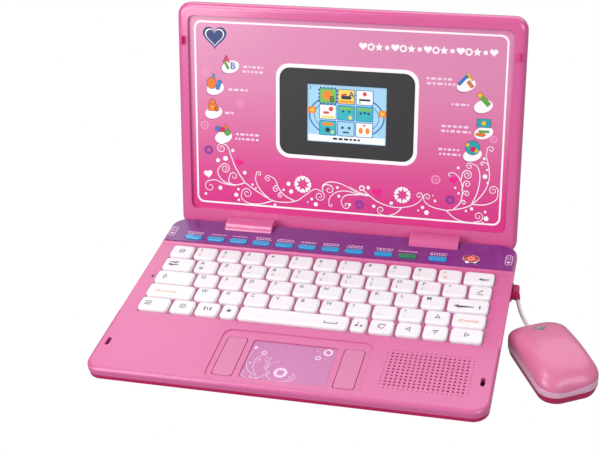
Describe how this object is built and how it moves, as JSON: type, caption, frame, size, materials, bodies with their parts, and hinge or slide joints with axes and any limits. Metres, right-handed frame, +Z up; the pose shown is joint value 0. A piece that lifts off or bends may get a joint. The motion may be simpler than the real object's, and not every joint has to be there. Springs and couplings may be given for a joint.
{
  "type": "toy laptop computer",
  "caption": "Clamshell learning computer for a child, with a sprung keyboard, touchpad, function strip, small screen in a printed lid, and a clicking mouse on a short cord.",
  "frame": {"origin": "on the table, in the middle of the laptop and its mouse together", "axes": "+X to the user's right along the keyboard, +Y away from the user, +Z up"},
  "size_m": [0.3594, 0.2525, 0.2071],
  "materials": {
    "blue": "glossy blue",
    "board": "circuit board",
    "case": "glossy moulded pink",
    "cell": "wrapped battery cell",
    "chrome": "bright chrome plating on plastic",
    "clear": "clear acrylic",
    "cord": "white flexible sheath",
    "dark": "dark plastic",
    "deep": "glossy moulded dark magenta",
    "green": "glossy green",
    "keycap": "satin off-white",
    "lcd": "display",
    "membrane": "silicone rubber",
    "orange": "glossy orange",
    "pearl": "pearly light pink",
    "print": "printed panel",
    "purple": "glossy moulded purple",
    "rubber": "black rubber",
    "steel": "plated steel"
  },
  "bodies": {
    "base": {"base_feet": "rubber", "base_lower_case": "deep", "base_upper_case": "case", "battery_cells": "cell", "battery_contacts": "steel", "battery_door": "deep", "caps_lock_lamp": "dark", "case_screws": "steel", "function_panel": "purple", "hinge_pins": "steel", "keyboard_membrane": "membrane", "main_board": "board", "mouse_board": "board", "mouse_cord": "cord", "mouse_glide_pads": "dark", "mouse_lens": "clear", "mouse_lower_shell": "deep", "mouse_middle_shell": "pearl", "mouse_plug": "deep", "mouse_socket": "dark", "power_button_ring": "chrome", "speaker": "dark", "touchpad_board": "board", "touchpad_plate": "pearl"},
    "lid": {"lid_front_frame": "case", "lid_back_cover": "case", "lid_badge": "chrome", "lid_screws": "steel", "display_faceplate": "print", "screen_window": "clear", "lcd_module": "lcd", "lid_catches": "deep"},
    "number_keys": {"number_keys": "keycap"},
    "upper_letter_keys": {"upper_letter_keys": "keycap"},
    "middle_letter_keys": {"middle_letter_keys": "keycap"},
    "lower_letter_keys": {"lower_letter_keys": "keycap"},
    "escape_key": {"escape_key": "keycap"},
    "language_key": {"language_key": "keycap"},
    "caps_lock_key": {"caps_lock_key": "keycap"},
    "left_shift_key": {"left_shift_key": "keycap"},
    "backspace_key": {"backspace_key": "keycap"},
    "delete_key": {"delete_key": "keycap"},
    "enter_key": {"enter_key": "keycap"},
    "right_shift_key": {"right_shift_key": "keycap"},
    "up_key": {"up_key": "keycap"},
    "menu_key": {"menu_key": "keycap"},
    "command_keys": {"command_keys": "keycap"},
    "space_key": {"space_key": "keycap"},
    "left_key": {"left_key": "keycap"},
    "down_key": {"down_key": "keycap"},
    "right_key": {"right_key": "keycap"},
    "subject_buttons": {"subject_buttons": "blue"},
    "level_button": {"level_button": "blue"},
    "games_button": {"games_button": "green"},
    "volume_button": {"volume_button": "blue"},
    "power_button": {"power_button": "orange"},
    "touchpad_button_left": {"touchpad_button_left": "pearl"},
    "touchpad_button_right": {"touchpad_button_right": "pearl"},
    "mouse_cover": {"mouse_top_cover": "case", "mouse_badge": "chrome"}
  },
  "joints": [
    {"name": "lid_hinge", "type": "hinge", "parent": "base", "child": "lid", "pos_m": [-0.0347, 0.05992, 0.02896], "axis": [1, 0, 0], "range_deg": [-8, 108.6]},
    {"name": "number_keys_press", "type": "slide", "parent": "base", "child": "number_keys", "axis": [0, 0.0698, -0.9976], "range_m": [0, 0.0014], "stiffness_N_per_m": 600},
    {"name": "upper_letter_keys_press", "type": "slide", "parent": "base", "child": "upper_letter_keys", "axis": [0, 0.0698, -0.9976], "range_m": [0, 0.0014], "stiffness_N_per_m": 600},
    {"name": "middle_letter_keys_press", "type": "slide", "parent": "base", "child": "middle_letter_keys", "axis": [0, 0.0698, -0.9976], "range_m": [0, 0.0014], "stiffness_N_per_m": 600},
    {"name": "lower_letter_keys_press", "type": "slide", "parent": "base", "child": "lower_letter_keys", "axis": [0, 0.0698, -0.9976], "range_m": [0, 0.0014], "stiffness_N_per_m": 600},
    {"name": "escape_key_press", "type": "slide", "parent": "base", "child": "escape_key", "axis": [0, 0.0698, -0.9976], "range_m": [0, 0.0014], "stiffness_N_per_m": 350},
    {"name": "language_key_press", "type": "slide", "parent": "base", "child": "language_key", "axis": [0, 0.0698, -0.9976], "range_m": [0, 0.0014], "stiffness_N_per_m": 350},
    {"name": "caps_lock_key_press", "type": "slide", "parent": "base", "child": "caps_lock_key", "axis": [0, 0.0698, -0.9976], "range_m": [0, 0.0014], "stiffness_N_per_m": 350},
    {"name": "left_shift_key_press", "type": "slide", "parent": "base", "child": "left_shift_key", "axis": [0, 0.0698, -0.9976], "range_m": [0, 0.0014], "stiffness_N_per_m": 350},
    {"name": "backspace_key_press", "type": "slide", "parent": "base", "child": "backspace_key", "axis": [0, 0.0698, -0.9976], "range_m": [0, 0.0014], "stiffness_N_per_m": 350},
    {"name": "delete_key_press", "type": "slide", "parent": "base", "child": "delete_key", "axis": [0, 0.0698, -0.9976], "range_m": [0, 0.0014], "stiffness_N_per_m": 350},
    {"name": "enter_key_press", "type": "slide", "parent": "base", "child": "enter_key", "axis": [0, 0.0698, -0.9976], "range_m": [0, 0.0014], "stiffness_N_per_m": 350},
    {"name": "right_shift_key_press", "type": "slide", "parent": "base", "child": "right_shift_key", "axis": [0, 0.0698, -0.9976], "range_m": [0, 0.0014], "stiffness_N_per_m": 350},
    {"name": "up_key_press", "type": "slide", "parent": "base", "child": "up_key", "axis": [0, 0.0698, -0.9976], "range_m": [0, 0.0014], "stiffness_N_per_m": 350},
    {"name": "menu_key_press", "type": "slide", "parent": "base", "child": "menu_key", "axis": [0, 0.0698, -0.9976], "range_m": [0, 0.0014], "stiffness_N_per_m": 350},
    {"name": "command_keys_press", "type": "slide", "parent": "base", "child": "command_keys", "axis": [0, 0.0698, -0.9976], "range_m": [0, 0.0014], "stiffness_N_per_m": 600},
    {"name": "space_key_press", "type": "slide", "parent": "base", "child": "space_key", "axis": [0, 0.0698, -0.9976], "range_m": [0, 0.0014], "stiffness_N_per_m": 350},
    {"name": "left_key_press", "type": "slide", "parent": "base", "child": "left_key", "axis": [0, 0.0698, -0.9976], "range_m": [0, 0.0014], "stiffness_N_per_m": 350},
    {"name": "down_key_press", "type": "slide", "parent": "base", "child": "down_key", "axis": [0, 0.0698, -0.9976], "range_m": [0, 0.0014], "stiffness_N_per_m": 350},
    {"name": "right_key_press", "type": "slide", "parent": "base", "child": "right_key", "axis": [0, 0.0698, -0.9976], "range_m": [0, 0.0014], "stiffness_N_per_m": 350},
    {"name": "subject_buttons_press", "type": "slide", "parent": "base", "child": "subject_buttons", "axis": [0, 0.0698, -0.9976], "range_m": [0, 0.0009], "stiffness_N_per_m": 400},
    {"name": "level_button_press", "type": "slide", "parent": "base", "child": "level_button", "axis": [0, 0.0698, -0.9976], "range_m": [0, 0.0009], "stiffness_N_per_m": 400},
    {"name": "games_button_press", "type": "slide", "parent": "base", "child": "games_button", "axis": [0, 0.0698, -0.9976], "range_m": [0, 0.0009], "stiffness_N_per_m": 400},
    {"name": "volume_button_press", "type": "slide", "parent": "base", "child": "volume_button", "axis": [0, 0.0698, -0.9976], "range_m": [0, 0.0009], "stiffness_N_per_m": 400},
    {"name": "power_button_press", "type": "slide", "parent": "base", "child": "power_button", "axis": [0, 0.0698, -0.9976], "range_m": [0, 0.0009], "stiffness_N_per_m": 450},
    {"name": "touchpad_button_left_press", "type": "slide", "parent": "base", "child": "touchpad_button_left", "axis": [0, 0.0698, -0.9976], "range_m": [0, 0.0006], "stiffness_N_per_m": 700},
    {"name": "touchpad_button_right_press", "type": "slide", "parent": "base", "child": "touchpad_button_right", "axis": [0, 0.0698, -0.9976], "range_m": [0, 0.0006], "stiffness_N_per_m": 700},
    {"name": "mouse_click", "type": "hinge", "parent": "base", "child": "mouse_cover", "pos_m": [0.16074, -0.07374, 0.0148], "axis": [0.8746, 0.4848, 0], "range_deg": [-0.75, 0], "stiffness_Nm_per_rad": 3}
  ]
}
